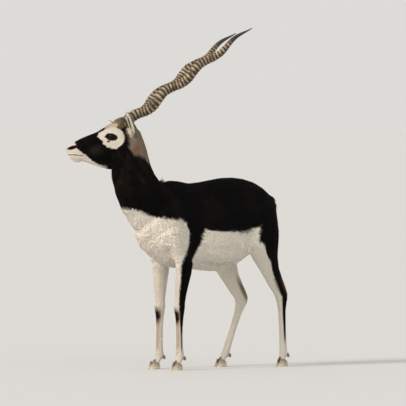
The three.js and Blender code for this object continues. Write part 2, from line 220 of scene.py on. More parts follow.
def ball(centre, radii, axes=None, sides=24, rows=15):
    """Points and faces of an ellipsoid."""
    rise = np.pi * np.arange(1, rows + 1) / (rows + 1)
    turn = 2 * np.pi * np.arange(sides) / sides
    up, around = np.meshgrid(rise, turn, indexing="ij")
    grid = np.stack([np.sin(up) * np.cos(around), -np.sin(up) * np.sin(around), np.cos(up)], -1)
    points = np.vstack([[0, 0, 1], grid.reshape(-1, 3), [0, 0, -1]]) * radii
    if axes is not None:
        points = points @ np.asarray(axes).T
    faces = [tuple(reversed(face)) for face in ring_faces(rows, sides)]
    return points + centre, faces


# Camera, floor and light
VIEW_TURN = math.radians(53)
CAMERA_SIDE = np.array([math.cos(VIEW_TURN), math.sin(VIEW_TURN), 0])
CAMERA_WAY = np.array([math.sin(VIEW_TURN), -math.cos(VIEW_TURN), 0])
CAMERA_ASIDE, CAMERA_FAR, CAMERA_HEIGHT, AIM_HEIGHT = 178, 28000, 1380, 691
CAMERA_LENS = 600
WORLD_STRENGTH = 0.8
KEY_STRENGTH, KEY_SOFTNESS = 2.35, 14
FILL_STRENGTH, FILL_SOFTNESS = 0.25, 60
FLOOR_REACH = 400


def aim(made, target):
    way = Vector(target) - made.location
    made.rotation_euler = way.to_track_quat("-Z", "Y").to_euler()


def add_camera():
    data = bpy.data.cameras.new("camera")
    data.sensor_width = 36
    data.lens = CAMERA_LENS
    data.clip_end = 100
    camera = add_object("camera", data)
    aside = CAMERA_SIDE * CAMERA_ASIDE
    camera.location = placed(aside + CAMERA_WAY * CAMERA_FAR + (0, 0, CAMERA_HEIGHT))
    aim(camera, placed(aside + (0, 0, AIM_HEIGHT)))
    bpy.context.scene.camera = camera


def add_light(name, way, strength, softness, colour):
    """A distant soft light from one side, softness degrees across."""
    data = bpy.data.lights.new(name, "SUN")
    data.energy = strength
    data.angle = math.radians(softness)
    data.color = linear(colour)
    lamp = add_object(name, data)
    lamp.location = unit(way) * 5
    aim(lamp, (0, 0, 0))


def add_studio():
    scene = bpy.context.scene
    scene.view_settings.view_transform = "Standard"
    world = bpy.data.worlds.new("studio")
    world.use_nodes = True
    background = world.node_tree.nodes["Background"]
    background.inputs["Color"].default_value = opaque("f4f2ee")
    background.inputs["Strength"].default_value = WORLD_STRENGTH
    scene.world = world
    up = np.array([0, 0, 1])
    key_way = CAMERA_WAY * 0.75 - CAMERA_SIDE + up * 0.75
    fill_way = CAMERA_SIDE * 0.6 + CAMERA_WAY + up * 0.5
    add_light("key", key_way, KEY_STRENGTH, KEY_SOFTNESS, "fff4e6")
    add_light("fill", fill_way, FILL_STRENGTH, FILL_SOFTNESS, "eef3ff")
    floor_mesh = bpy.data.meshes.new("floor")
    corners = [(FLOOR_REACH * x, FLOOR_REACH * y, 0) for x, y in ((-1, -1), (1, -1), (1, 1), (-1, 1))]
    floor_mesh.from_pydata(corners, [], [(0, 1, 2, 3)])
    floor = add_object("floor", floor_mesh)
    floor_mesh.materials.append(floor_paint())


def new_material(name):
    material = bpy.data.materials.new(name)
    material.use_nodes = True
    return material, material.node_tree, material.node_tree.nodes["Principled BSDF"]


def floor_paint():
    """Matt white studio paint: pale and even, with no gloss."""
    material, tree, shader = new_material("matt_studio_paint")
    fill(tree, shader, {"Base Color": opaque("d0d1d2"), "Roughness": 0.9})
    return material


# The skin starts as one body, joined from the solids of flesh
FLESH_SWELL = 0.6
NOSTRIL, NOSTRIL_RADII = (18.5, -168, 8), (8, 15, 4.6)

def plain_copy(name, swell):
    """A node's points, merged and moved out by swell, and its faces."""
    bm = bmesh.new()
    bm.from_mesh(NODES[name].data)
    bmesh.ops.remove_doubles(bm, verts=bm.verts, dist=1e-6)
    bm.normal_update()
    points = np.array([v.co + v.normal * swell * MM for v in bm.verts])
    faces = [tuple(v.index for v in face.verts) for face in bm.faces]
    bm.free()
    return shaping(points), faces


def in_one(parts):
    """One list of points and one of faces from several."""
    faces, start = [], 0
    for points, own_faces in parts:
        faces += [tuple(i + start for i in face) for face in own_faces]
        start += len(points)
    return np.vstack([points for points, _ in parts]), faces


def boolean(target, tool, operation):
    modifier = target.modifiers.new(operation, "BOOLEAN")
    modifier.operation = operation
    modifier.object = tool
    modifier.solver = "MANIFOLD"
    made = finished(target, target.name)
    bpy.data.objects.remove(tool)
    return made


EYE_SLANT = math.radians(27)
EYE_FORWARD = math.radians(14)
LID_HALF_LENGTH, LID_RISE, LID_FALL = 17.5, 10.2, 8.2
LID_THICKNESS = 1.7


def eye_axes(sign):
    """The way an eye looks, the way from its rear corner to its front one, and up."""
    look = along_head(sign * math.cos(EYE_FORWARD), -math.sin(EYE_FORWARD), 0.06)
    front = along_head(0, -math.cos(EYE_SLANT), math.sin(EYE_SLANT))
    front = unit(front - look * (front @ look))
    up = np.cross(look, front) * sign
    up = up if up @ along_head(0, 0, 1) > 0 else -up
    return unit(look), front, up


def eye_middle(sign):
    return on_head(sign * EYE_SPREAD, 0, 0)


def eye_opening(sign):
    """A short bar in the outline of the opened lids, from inside the eye to well outside."""
    look, front, up = eye_axes(sign)
    centre = eye_middle(sign)
    turn = 2 * np.pi * np.arange(28) / 28
    along = LID_HALF_LENGTH * np.cos(turn)
    height = np.where(np.sin(turn) > 0, LID_RISE, LID_FALL) * np.sin(turn) * (1 - 0.12 * np.cos(turn))
    rings = [centre + look * depth + np.outer(along * wide, front) + np.outer(height * wide, up)
             for depth, wide in ((7, 0.9), (20, 1.0), (44, 1.25))]
    points = np.vstack([centre + look * 7, *rings, centre + look * 44])
    return points, ring_faces(3, 28)


def outward(made):
    """Turns an object's faces outwards."""
    bm = bmesh.new()
    bm.from_mesh(made.data)
    bmesh.ops.recalc_face_normals(bm, faces=bm.faces)
    bm.to_mesh(made.data)
    bm.free()
    return made


def head_flesh():
    head = outward(mesh_object("head_flesh", *plain_copy("head", FLESH_SWELL)))
    for sign in (1, -1):
        lids = ball(eye_middle(sign), (EYE_RADIUS + LID_THICKNESS,) * 3, HEAD_AXES, 28, 18)
        head = boolean(head, outward(mesh_object("lids", *lids)), "UNION")
        head = boolean(head, outward(mesh_object("opening", *eye_opening(sign))), "DIFFERENCE")
        slit = ball(on_head(sign * NOSTRIL[0], *NOSTRIL[1:]), NOSTRIL_RADII, HEAD_AXES)
        head = boolean(head, outward(mesh_object("slit", *slit)), "DIFFERENCE")
    return head


def joined_flesh():
    parts = [plain_copy(name, FLESH_SWELL) for name in FLESH if name != "head"]
    head = head_flesh()
    parts.append((shaping(read(head.data.vertices, "co", 3)),
                  [tuple(face.vertices) for face in head.data.polygons]))
    bpy.data.objects.remove(head)
    body = mesh_object("skin", *in_one(parts))
    remesh = body.modifiers.new("remesh", "REMESH")
    remesh.mode = "VOXEL"
    remesh.voxel_size = SKIN_VOXEL
    return finished(body, "skin")


class Surface:
    """The points, neighbours and normals of a mesh, for moving its points in bulk."""

    def __init__(self, made):
        self.mesh = made.data
        self.points = shaping(read(self.mesh.vertices, "co", 3))
        a, b = read(self.mesh.edges, "vertices", 2, np.int32).T
        start, end = np.concatenate([a, b]), np.concatenate([b, a])
        order = np.argsort(start, kind="stable")
        self.near = end[order]
        self.degree = np.bincount(start, minlength=len(self.points))
        self.first = np.concatenate([[0], np.cumsum(self.degree)[:-1]])

    def around(self, values):
        """The mean of each point's neighbours."""
        total = np.add.reduceat(values[self.near], self.first, axis=0)
        degree = self.degree if values.ndim == 1 else self.degree[:, None]
        return total / degree

    def blurred(self, values, times):
        for _ in range(times):
            values = values + 0.6 * (self.around(values) - values)
        return values

    def store(self):
        self.mesh.vertices.foreach_set("co", placed(self.points).astype(np.float32).ravel())
        self.mesh.update()

    def normals(self):
        self.store()
        return read(self.mesh.vertex_normals, "vector", 3).astype(float)


def region_finder():
    """Tells which node of flesh each point is nearest to."""
    parts = [plain_copy(name, 0) for name in FLESH]
    points, faces = in_one(parts)
    tree = BVHTree.FromPolygons(points.tolist(), faces)
    label = np.repeat(np.arange(len(parts)), [len(part_faces) for _, part_faces in parts])
    return lambda wanted: label[[tree.find_nearest(p)[2] for p in wanted.tolist()]]


PART = {name: number for number, name in enumerate(FLESH)}
LEG_PARTS = [PART[name] for name in FLESH if name.startswith("leg")]
EAR_PARTS = [PART["ear_left"], PART["ear_right"]]
MOUTH_LINE = [(-192, -17), (-176, -21), (-163, -26), (-149, -33), (-135, -39)]


def line_distance(points, line):
    """Distance of flat points from a line through some places."""
    best = np.full(len(points), 1e9)
    for a, b in zip(np.array(line[:-1], float), np.array(line[1:], float)):
        way = b - a
        share = np.clip((points - a) @ way / (way @ way), 0, 1)
        best = np.minimum(best, np.linalg.norm(points - a - share[:, None] * way, axis=1))
    return best


def detail_distance(points):
    """How far a point is from the eyes, nostrils and mouth, in millimetres."""
    local = in_head(points)
    best = np.full(len(points), 1e9)
    for sign in (1, -1):
        look, front, up = eye_axes(sign)
        offset = points - eye_middle(sign) - look * 15
        flat = np.stack([offset @ front / 1.9, offset @ up, offset @ look / 1.2], 1)
        best = np.minimum(best, np.abs(np.linalg.norm(flat, axis=1) - 4) - 5)
        nostril = (local - (sign * 19, -168, 8)) / (1, 2, 1)
        best = np.minimum(best, np.linalg.norm(nostril, axis=1) - 9)
    mouth = line_distance(local[:, 1:], MOUTH_LINE)
    return np.maximum(np.minimum(best, mouth - 3), 0)


def even_out(surface, part):
    """Takes the facets out: much on the broad forms, little on thin and fine ones."""
    height = surface.points[:, 2]
    spread = np.full(len(part), 12.0)
    spread[part == PART["neck"]] = 10
    spread[part == PART["head"]] = 4.0
    spread[part == PART["tail"]] = 4
    spread[np.isin(part, EAR_PARTS)] = 1.8
    legs = np.isin(part, LEG_PARTS)
    spread[legs] = np.interp(height[legs], [100, 300, 480], [2.6, 3.4, 8])
    spread = surface.blurred(spread, 60)
    near = smooth_step(2, 16, detail_distance(surface.points))
    spread = np.where(near < 1, 1.2 + near * (spread - 1.2), spread)
    step, gain = 0.85, 0.425 * (SKIN_VOXEL / MM) ** 2
    rounds = spread ** 2 / gain
    first, normals = surface.points, surface.normals()
    for count in range(int(rounds.max())):
        share = np.clip(rounds - count, 0, 1)[:, None] * step
        surface.points = surface.points + share * (surface.around(surface.points) - surface.points)
    sunk = ((surface.points - first) * normals).sum(1)
    for count in range(int(rounds.max())):
        share = np.clip(rounds - count, 0, 1) * step
        sunk = sunk + share * (surface.around(sunk) - sunk)
    surface.points = surface.points - surface.normals() * sunk[:, None]


# Soft forms under the coat: centre, radii and height, on both sides or one
BODY_FORMS = [
    ((102, -14, 540), (28, 38, 66), 6),
    ((66, -96, 530), (26, 34, 60), -4),
    ((30, -60, 458), (30, 60, 20), -3),
    ((92, 30, 452), (24, 26, 26), 3),
    ((70, 400, 545), (30, 16, 40), -5),
    ((84, 120, 520), (30, 12, 34), -4),
    ((88, 20, 590), (40, 60, 90), 4),
    ((96, 120, 560), (40, 22, 70), -4),
    ((100, 395, 640), (60, 22, 80), -4),
    ((90, 470, 620), (60, 70, 90), 4),
    ((80, 560, 560), (40, 30, 60), 2),
    ((0, -120, 600), (12, 60, 60), -5),
    ((0, 200, 800), (10, 200, 20), 2),
]
HEAD_FORMS = [
    ((40, -2, 24), (12, 26, 8), 1.6),
    ((40, -44, -10), (10, 22, 9), -2.2),
    ((44, -28, -6), (8, 9, 3), -1.6),
    ((44, 26, -48), (14, 34, 20), 1.5),
    ((26, -92, -14), (10, 36, 10), -1.4),
    ((40, 34, -104), (12, 26, 12), -1.5),
    ((0, -190, 0), (3, 10, 12), -1.4),
    ((0, -190, -26), (4, 10, 10), 0.8),
]


def sculpt(surface, part):
    normals = surface.normals()
    local = in_head(surface.points)
    height = np.zeros(len(part))
    body = np.isin(part, [PART["trunk"], PART["neck"], *LEG_PARTS])
    for forms, where, places in ((BODY_FORMS, body, surface.points),
                                 (HEAD_FORMS, part == PART["head"], local)):
        for centre, radii, rise in forms:
            for sign in ((1, -1) if centre[0] else (1,)):
                middle = np.array(centre) * (sign, 1, 1)
                far = (((places - middle) / radii) ** 2).sum(1)
                height += np.where(where & (far < 9), rise * np.exp(-far), 0)
    mouth = line_distance(local[:, 1:], MOUTH_LINE)
    height -= np.where(part == PART["head"], 3.4 * np.exp(-(mouth / 1.7) ** 2), 0)
    surface.points = surface.points + normals * height[:, None]


def inset(surface, part):
    """Moves the skin inwards by the depth of the coat."""
    height = surface.points[:, 2]
    depth = np.full(len(part), 3.4)
    depth[part == PART["head"]] = 1.0
    depth[np.isin(part, EAR_PARTS)] = 1.1
    legs = np.isin(part, LEG_PARTS)
    depth[legs] = np.interp(height[legs], [60, 300, 480], [1.2, 1.4, 3.0])
    depth = surface.blurred(depth, 50)
    near = smooth_step(0, 20, detail_distance(surface.points))
    depth = np.where(near < 1, 0.5 + near * (depth - 0.5), depth)
    surface.points = surface.points - surface.normals() * depth[:, None]


def thinned(made, part):
    """Fewer triangles on the broad forms, with the face kept fine."""
    group = made.vertex_groups.new(name="plain")
    keep = part == PART["head"]
    for flag, weight in ((keep, 0.04), (~keep, 1.0)):
        group.add(np.nonzero(flag)[0].tolist(), weight, "REPLACE")
    decimate = made.modifiers.new("thin", "DECIMATE")
    decimate.use_collapse_triangulate = True
    decimate.vertex_group = group.name
    decimate.vertex_group_factor = 1.0
    triangles = 2 * len(made.data.polygons)
    decimate.ratio = SKIN_TRIANGLES / triangles
    return finished(made, "skin")


def build_skin():
    skin = joined_flesh()
    nearest = region_finder()
    surface = Surface(skin)
    part = nearest(surface.points)
    even_out(surface, part)
    sculpt(surface, part)
    surface.points = surface.blurred(surface.points, 2)
    inset(surface, part)
    surface.store()
    skin = thinned(skin, part)
    skin.vertex_groups.clear()
    surface = Surface(skin)
    return skin, surface, nearest(surface.points)


# The lie of the coat

EAR_ROOT = (46, 87, -28)
EAR_WAYS = {"ear_left": (56, -10, 110), "ear_right": (-62, -54, 104)}
LEG_JOINTS = {
    "leg_fore_left": [(84, 62, 440), (73, 45, 258), (69, 50, 54), (69, 36, 20)],
    "leg_fore_right": [(84, 66, 440), (73, 53, 258), (69, 47, 54), (69, 26, 20)],
    "leg_hind_left": [(60, 488, 620), (84, 448, 500), (66, 583, 292), (68, 592, 52), (68, 582, 20)],
    "leg_hind_right": [(60, 474, 620), (84, 358, 472), (66, 476, 274), (68, 389, 52), (68, 366, 20)],
}


def ear_line(name):
    """Where an ear grows from, and the way to its tip."""
    x, y, z = EAR_ROOT
    return on_head(x * side_of(name), y, z), unit(along_head(*EAR_WAYS[name]))


def leg_centre(name, height):
    """Middle of a leg at some heights: x counted outwards, and y."""
    joints = np.array(LEG_JOINTS[name], float)[::-1]
    return (np.interp(height, joints[:, 2], joints[:, 0]),
            np.interp(height, joints[:, 2], joints[:, 1]))


def hair_way(points, normals, part, surface):
    """The way the hair lies at each point, along the skin."""
    _, y, z = points.T
    way = np.zeros_like(points)
    count = len(points)
    trunk = np.stack([np.zeros(count), np.ones(count), np.full(count, -0.35)], 1)
    rear = smooth_step(430, 570, y)[:, None]
    trunk = trunk * (1 - rear) + rear * np.array([0, 0.25, -1.0])
    front = smooth_step(60, -120, y)[:, None]
    trunk = trunk * (1 - front) + front * np.array([0, 0.45, -1.0])
    neck = np.stack([np.zeros(count), smooth_step(900, 640, z) * 0.8, -np.ones(count)], 1)
    head = np.tile(along_head(0, 1, -0.12), (count, 1))
    for name, value in (("trunk", trunk), ("neck", neck), ("head", head)):
        way = np.where((part == PART[name])[:, None], value, way)
    way[part == PART["tail"]] = (0, 0.1, -1)
    for name, ear_way in EAR_WAYS.items():
        way[part == PART[name]] = unit(along_head(*ear_way))
    for name in LEG_JOINTS:
        here = part == PART[name]
        heights = z[here]
        x_up, y_up = leg_centre(name, heights + 6)
        x_down, y_down = leg_centre(name, heights - 6)
        fall = np.full(len(heights), -12.0)
        way[here] = unit(np.stack([side_of(name) * (x_down - x_up), y_down - y_up, fall], 1))
    way = surface.blurred(unit(way), 50)
    way = way - normals * (way * normals).sum(1)[:, None]
    return unit(way)


# Markings

BLACK, WHITE, CREAM = "050404", "f0e8da", "e2d3b8"
DEEP_BROWN, NECK_BROWN, CHESTNUT, TAN = "21140d", "251b15", "8f684a", "a98d68"
# The nape's pale grey-brown is partly the hair's own colour and partly painted sheen
NAPE_HAIR_AND_SHEEN, BARE_DARK = "9c8c79", "1b1512"
TORSO_LINE = [(-400, 678), (-165, 672), (-84, 640), (-37, 627), (30, 627), (62, 612), (77, 565)]
BELLY_LINE = [(147, 582), (201, 572), (364, 569), (420, 582), (441, 590)]
EYE_RING = [(-56, 22), (-43, 32), (-14, 38), (7, 41), (26, 38), (40, 21), (50, 6), (49, -13),
            (43, -30), (26, -44), (1, -53), (-16, -46), (-32, -34), (-43, -16), (-43, 1), (-52, 11)]
EAR_BASE = [(68, 14), (82, 20), (100, 2), (108, -42), (94, -64), (74, -46)]
MUZZLE_LINE = [(-143, 60), (-146, 26), (-151, 14), (-151, 0), (-134, -27), (-118, -47),
               (-106, -66), (-84, -89), (-62, -105), (-30, -118), (-60, -300), (-400, -300), (-400, 60)]
OUTER_BLACK = [*TORSO_LINE, (66, 512), (48, 482), (34, 455), (30, 420), (27, 330), (97, 330), (98, 374),
               (100, 455), (106, 482), (134, 531), *BELLY_LINE, (432, 560), (430, 531), (452, 517),
               (469, 469), (492, 443), (504, 414), (538, 352), (545, 330), (900, 330), (900, 1300),
               (-400, 1300)]
NAPE_LINE = [(56, -44), (62, 10), (84, 40), (128, 40), (150, -10), (156, -70), (160, -130), (150, -176),
             (128, -150), (102, -121), (84, -101), (62, -94), (52, -71)]
BROW_LINE = [(-14, 34), (6, 38), (30, 32), (58, 44), (50, 74), (-10, 60)]
# Heights on a leg, and the angles where its black line starts and ends there
FORE_BLACK = ([60, 150, 230, 300, 374, 440], [84, 78, 60, 42, 37, 34], [92, 112, 150, 172, 178, 180])
HIND_BLACK_START = ([90, 145, 240, 320, 352, 469, 531], [92, 80, 64, 70, 82, 90, 68])
HIND_BLACK_END = ([90, 145, 240, 320, 420, 520], [112, 138, 166, 182, 190, 190])


def inside(points, outline):
    """Signed distance to a closed outline, positive within."""
    ring = [*outline, outline[0]]
    distance = line_distance(points, ring)
    crossings = np.zeros(len(points), bool)
    for (ax, ay), (bx, by) in zip(ring[:-1], ring[1:]):
        if ay == by:
            continue
        spans = (points[:, 1] > ay) != (points[:, 1] > by)
        at = ax + (points[:, 1] - ay) * (bx - ax) / (by - ay)
        crossings ^= spans & (points[:, 0] < at)
    return np.where(crossings, distance, -distance)


def painted(base, *layers):
    """A base colour under layers of other colours, each with its own share."""
    base = linear(base) if isinstance(base, str) else base
    for colour, share in layers:
        colour = linear(colour) if isinstance(colour, str) else colour
        share = np.clip(share, 0, 1)[:, None]
        base = base * (1 - share) + colour * share
    return base


def between(value, rise, fall):
    """One within two limits, with a soft rise and a soft fall."""
    return smooth_step(*rise, value) * smooth_step(*fall, value)


def around_leg(points, name):
    """Angle round a leg: 0 in front, 90 on the outer side, 180 behind, -90 inside."""
    x, y = leg_centre(name, points[:, 2])
    return np.degrees(np.arctan2(points[:, 0] * side_of(name) - x, y - points[:, 1]))


def stripe(angle, start, end, soft=8.0):
    return between(angle, (start - soft, start + soft), (end + soft, end - soft))


def leg_colours(points, name):
    """A black line down the outer side that narrows to the fetlock, brown knees, and painted shade down the
    backs of the hind legs.
    """
    z = points[:, 2]
    angle = around_leg(points, name)
    turned = np.where(angle < -120, angle + 360, angle)
    wobble = ripple(points, 14, 5) * 5
    uneven = turned + wobble
    if "fore" in name:
        start, end = (np.interp(z, FORE_BLACK[0], angles) for angles in FORE_BLACK[1:])
        knee = oval(angle + wobble, z, (-6, 224), (66, 32))
        shin = stripe(angle, -50, 55, 25) * between(z, (60, 110), (232, 200))
        layers = [(TAN, shin * 0.55),
                  ("94693f", smooth_step(1.35, 0.9, knee) * 0.6),
                  (DEEP_BROWN, smooth_step(1.0, 0.66, knee + 0.12 * ripple(points, 9, 6))),
                  (BLACK, stripe(uneven, start, end) * smooth_step(52, 96, z))]
    else:
        start, end = np.interp(z, *HIND_BLACK_START), np.interp(z, *HIND_BLACK_END)
        edge = stripe(uneven, start - 26, start + 22, 16) * between(z, (300, 360), (520, 440))
        # A brown band down the back and inner rear of the hind legs is painted shade
        rear = stripe(turned, 150, 236, 14) * between(z, (250, 300), (480, 400))
        layers = [("5a3b29", edge * 0.75),
                  (BLACK, stripe(uneven, start, end) * smooth_step(78, 130, z)),
                  ("6f563f", rear * 0.85)]
    pastern = stripe(angle, -34, 34, 14) * between(z, (12, 22), (46, 36))
    return painted(WHITE, *layers, (DEEP_BROWN, pastern * 0.9))


def torso_colours(points, part):
    """Black above a clean line, white below it and on the inner sides of the legs."""
    x, y, z = points.T
    wobble = ripple(points, 30, 1) * 1.8 + ripple(points, 9, 2) * 0.8
    black = inside(points[:, 1:], OUTER_BLACK) + wobble
    inner_line = np.interp(z, [330, 470, 560, 640], [78, 74, 58, 26])
    lower = smooth_step(650, 610, z) * smooth_step(inner_line + 6, inner_line - 6, np.abs(x) + wobble)
    legs = np.isin(part, LEG_PARTS) | (y > 380) & (z < 640) | (y > -10) & (y < 170) & (z < 560)
    rear = smooth_step(535, 585, y) * smooth_step(760, 640, z) * smooth_step(30, 60, np.abs(x))
    tint = smooth_step(0.2, 1, ripple(points, 160, 3)) * 0.25
    return painted(WHITE, (BLACK, smooth_step(-2.5, 2.5, black)), (WHITE, lower * legs),
                   ("3a251a", rear * 0.75 * (black > 0)), ("24150f", tint * (black > 4)))


def nape_share(points, local):
    """The grey-brown area behind the ear and over the nape: partly the hair's own brownish colour, partly
    painted sheen.
    """
    within = inside(local[:, 1:], NAPE_LINE) + 5 * ripple(points, 26, 13)
    return smooth_step(-5, 9, within) * (0.88 + 0.12 * ripple(points, 12, 14))


def patch_share(local):
    """The chestnut patch under the ear."""
    far = oval(local[:, 1], local[:, 2], (82, -74), (21, 19))
    return smooth_step(1.25, 0.4, far) * smooth_step(20, 32, np.abs(local[:, 0])) * 0.8


def neck_colours(points, local, colours):
    _, y, z = points.T
    throat = smooth_step(-150, -200, y) * smooth_step(660, 760, z)
    # Brown streaks down the side of the neck: partly the hair's brown tinge, partly painted sheen
    flank = bell(y, -132, 26) * between(z, (700, 800), (930, 860))
    return painted(colours,
                   (NECK_BROWN, throat * (0.4 + 0.4 * ripple(points, 46, 11))),
                   (NECK_BROWN, flank * (0.45 + 0.4 * ripple(points, 30, 12))),
                   (NAPE_HAIR_AND_SHEEN, nape_share(points, local)), (CHESTNUT, patch_share(local)))


def face_colours(points, local):
    """A black face with a painted sheen before each eye, a white ring round each eye, white muzzle and chin,
    and olive crown.
    """
    side, y, z = np.abs(local[:, 0]), local[:, 1], local[:, 2]
    flat = local[:, 1:]
    wobble = ripple(points, 11, 21) * 1.5
    above_throat = smooth_step(-46, -72, y) * smooth_step(-134, -124, z)
    jaw = smooth_step(-96, -112, z + wobble) * smooth_step(30, 12, side)
    ring = np.where(side > 17, inside(flat, EYE_RING) + wobble, -9)
    blaze = smooth_step(13, 8, side + wobble) * smooth_step(-80, -60, y)
    brow = smooth_step(-2, 3, inside(flat, BROW_LINE) + wobble)
    crown = smooth_step(32, 44, y) * smooth_step(16, 28, z)
    return painted(
        BLACK,
        ("1d1613", smooth_step(0, 1, ripple(points, 34, 22)) * 0.5),
        # A grey patch on the side of the face, before and below the eye, is painted sheen
        ("39332f", bell(y, -79, 26) * bell(z, -31, 18) * 0.55),
        (WHITE, smooth_step(-2, 3, inside(flat, MUZZLE_LINE) + wobble) * above_throat),
        (WHITE, jaw * above_throat),
        (WHITE, smooth_step(-2, 2.5, ring)),
        (CREAM, brow * (1 - blaze) * 0.9),
        ("a08a68", smooth_step(24, 38, y) * smooth_step(30, 40, z) * smooth_step(36, 24, side)),
        ("3c2c20", bell(y, 52, 12) * bell(z, 27, 4) * 0.9),
        (NAPE_HAIR_AND_SHEEN, nape_share(points, local)),
        ("7d6c52", crown * (0.85 + 0.15 * ripple(points, 9, 24))),
        (DEEP_BROWN, bell(y, 55, 6) * between(z, (-46, -28), (24, 10))),
        (WHITE, smooth_step(-3, 4, inside(flat, EAR_BASE) + wobble) * smooth_step(26, 34, side)),
        (CHESTNUT, patch_share(local)),
        *feature_layers(points, local))


def eye_offsets(points, sign):
    """How far points lie before an eye's middle, and along and above it."""
    look, front, up = eye_axes(sign)
    offset = points - eye_middle(sign)
    return offset @ look, offset @ front, offset @ up


def feature_layers(points, local):
    """Dark rims of the eyes, the tear gland, nostrils and lips."""
    x, y, z = local.T
    layers = []
    for sign in (1, -1):
        ahead, along, above = eye_offsets(points, sign)
        facing, near = ahead > 4, x * sign > 2
        rim = oval(along, above, (0, 0), (25.5, 15))
        corner = oval(along, above, (24, -4), (6, 3.4))
        gland = oval(y, z, (-20, -13), (8.5, 4.2))
        slit = oval(y, z, (-166, 7), (22, 7.5))
        layers += [(BARE_DARK, smooth_step(1.08, 0.94, rim) * facing),
                   (BARE_DARK, smooth_step(1.2, 0.7, corner) * facing),
                   ("3a2c25", smooth_step(1.2, 0.6, gland) * near),
                   (BARE_DARK, smooth_step(1.15, 0.85, slit) * near)]
    mouth = line_distance(local[:, 1:], MOUTH_LINE)
    return [*layers, (BARE_DARK, smooth_step(2.4, 0.9, mouth))]


def ear_colours(points, normals, name):
    """White in front and at the edge, grey-brown behind, with a dark slit down the middle."""
    left = name.endswith("left")
    root, way = ear_line(name)
    offset = points - root
    up = offset @ way
    opens = unit(along_head(*((0.3, -0.95, 0) if left else (-0.5, -0.86, 0))))
    beside = along_head(*((0.97, -0.22, 0) if left else (-0.8, -0.6, 0)))
    slit = bell(offset @ unit(np.cross(way, beside)), 0, 3.4) * between(up, (22, 42), (100, 74))
    return painted("8b7c6a", (WHITE, smooth_step(-0.7, -0.2, normals @ opens)),
                   ("211812", slit * smooth_step(0.1, 0.4, normals @ beside)))


def soft_part(part, surface, name, times):
    """A part's own area, with a soft edge."""
    return surface.blurred((part == PART[name]).astype(float), times)


def coat_colours(points, normals, part, surface):
    local = in_head(points)
    colours = torso_colours(points, part)
    neck = neck_colours(points, local, colours)
    colours = np.where((part == PART["neck"])[:, None], neck, colours)
    colours = painted(colours, (face_colours(points, local), soft_part(part, surface, "head", 4)))
    for name in LEG_JOINTS:
        near = (part == PART[name]) | (part == PART["trunk"]) & (points[:, 0] * side_of(name) > 30)
        high, low = (470, 400) if "fore" in name else (400, 330)
        colours = painted(colours, (leg_colours(points, name), smooth_step(high, low, points[:, 2]) * near))
    for name in EAR_WAYS:
        own = ear_colours(points, normals, name)
        colours = painted(colours, (own, soft_part(part, surface, name, 2)))
    tail = painted(BLACK, (WHITE, smooth_step(0.2, -0.6, normals[:, 1])))
    return painted(colours, (tail, soft_part(part, surface, "tail", 2)))


# Size and density of the tufts

def tuft_sizes(points, part, surface):
    """Length and lift of the tufts, and how many to a square metre."""
    x, y, z = points.T
    local = in_head(points)
    length = np.full(len(points), 12.0)
    lift = np.full(len(points), 0.05)
    number = np.full(len(points), 60000.0)
    neck, head, tail = (part == PART[name] for name in ("neck", "head", "tail"))
    legs, ears = np.isin(part, LEG_PARTS), np.isin(part, EAR_PARTS)
    length[neck], number[neck] = 12.5, 72000
    length[legs] = np.interp(z[legs], [60, 300, 480], [5.5, 7, 11])
    number[legs] = np.interp(z[legs], [60, 300, 480], [190000, 150000, 75000])
    length[head], number[head] = 4.6, 240000
    muzzle = head & (local[:, 1] < -140)
    length[muzzle], number[muzzle] = 3.0, 330000
    length[ears], number[ears] = 5.0, 210000
    length[tail], number[tail], lift[tail] = 18, 120000, 0.05
    length, lift = surface.blurred(length, 14), surface.blurred(lift, 10)
    number = surface.blurred(number, 14)
    under = np.exp(-((x / 60) ** 2)) * smooth_step(520, 470, z)
    # Withers, belly, crown and rump: share, added length and added lift
    extras = [
        (np.exp(-((x / 16) ** 2 + ((y + 2) / 16) ** 2)) * (z > 740), 16, 0.85),
        (under * smooth_step(-60, 20, y) * smooth_step(420, 380, y), 4, 0.12),
        (smooth_step(24, 40, local[:, 1]) * smooth_step(36, 50, local[:, 2]) * head, 8, 0.5),
        (smooth_step(540, 590, y) * (z > 430), 8, 0.12),
    ]
    for share, more, raised in extras:
        length, lift = length + share * more, lift + share * raised
    for sign in (1, -1):
        near_eye = np.linalg.norm(points - on_head(sign * 52, 0, 0), axis=1)
        length = np.where(head, length * (0.45 + 0.55 * smooth_step(10, 36, near_eye)), length)
    return length, lift, number


def bare_share(points, part):
    """Where the skin shows without hair: eyelid rims, nostrils and lips."""
    local = in_head(points)
    bare = np.zeros(len(points))
    for sign in (1, -1):
        ahead, along, above = eye_offsets(points, sign)
        reach = oval(along, above, (0, 0), (21.5, 12))
        bare = np.maximum(bare, smooth_step(1.05, 0.95, reach) * (ahead > 4))
        slit = oval(local[:, 1], local[:, 2], (-167, 8), (18.5, 6.4))
        bare = np.maximum(bare, smooth_step(1.1, 0.9, slit) * (local[:, 0] * sign > 8))
    mouth = line_distance(local[:, 1:], MOUTH_LINE)
    bare = np.maximum(bare, smooth_step(2.6, 1.6, mouth) * (part == PART["head"]))
    return bare


def set_values(mesh, name, kind, domain, values):
    attribute = mesh.attributes.new(name, kind, domain)
    field = {"FLOAT": "value", "INT": "value", "FLOAT_COLOR": "color"}.get(kind, "vector")
    number = np.int32 if kind == "INT" else np.float32
    attribute.data.foreach_set(field, np.ascontiguousarray(values, number).ravel())


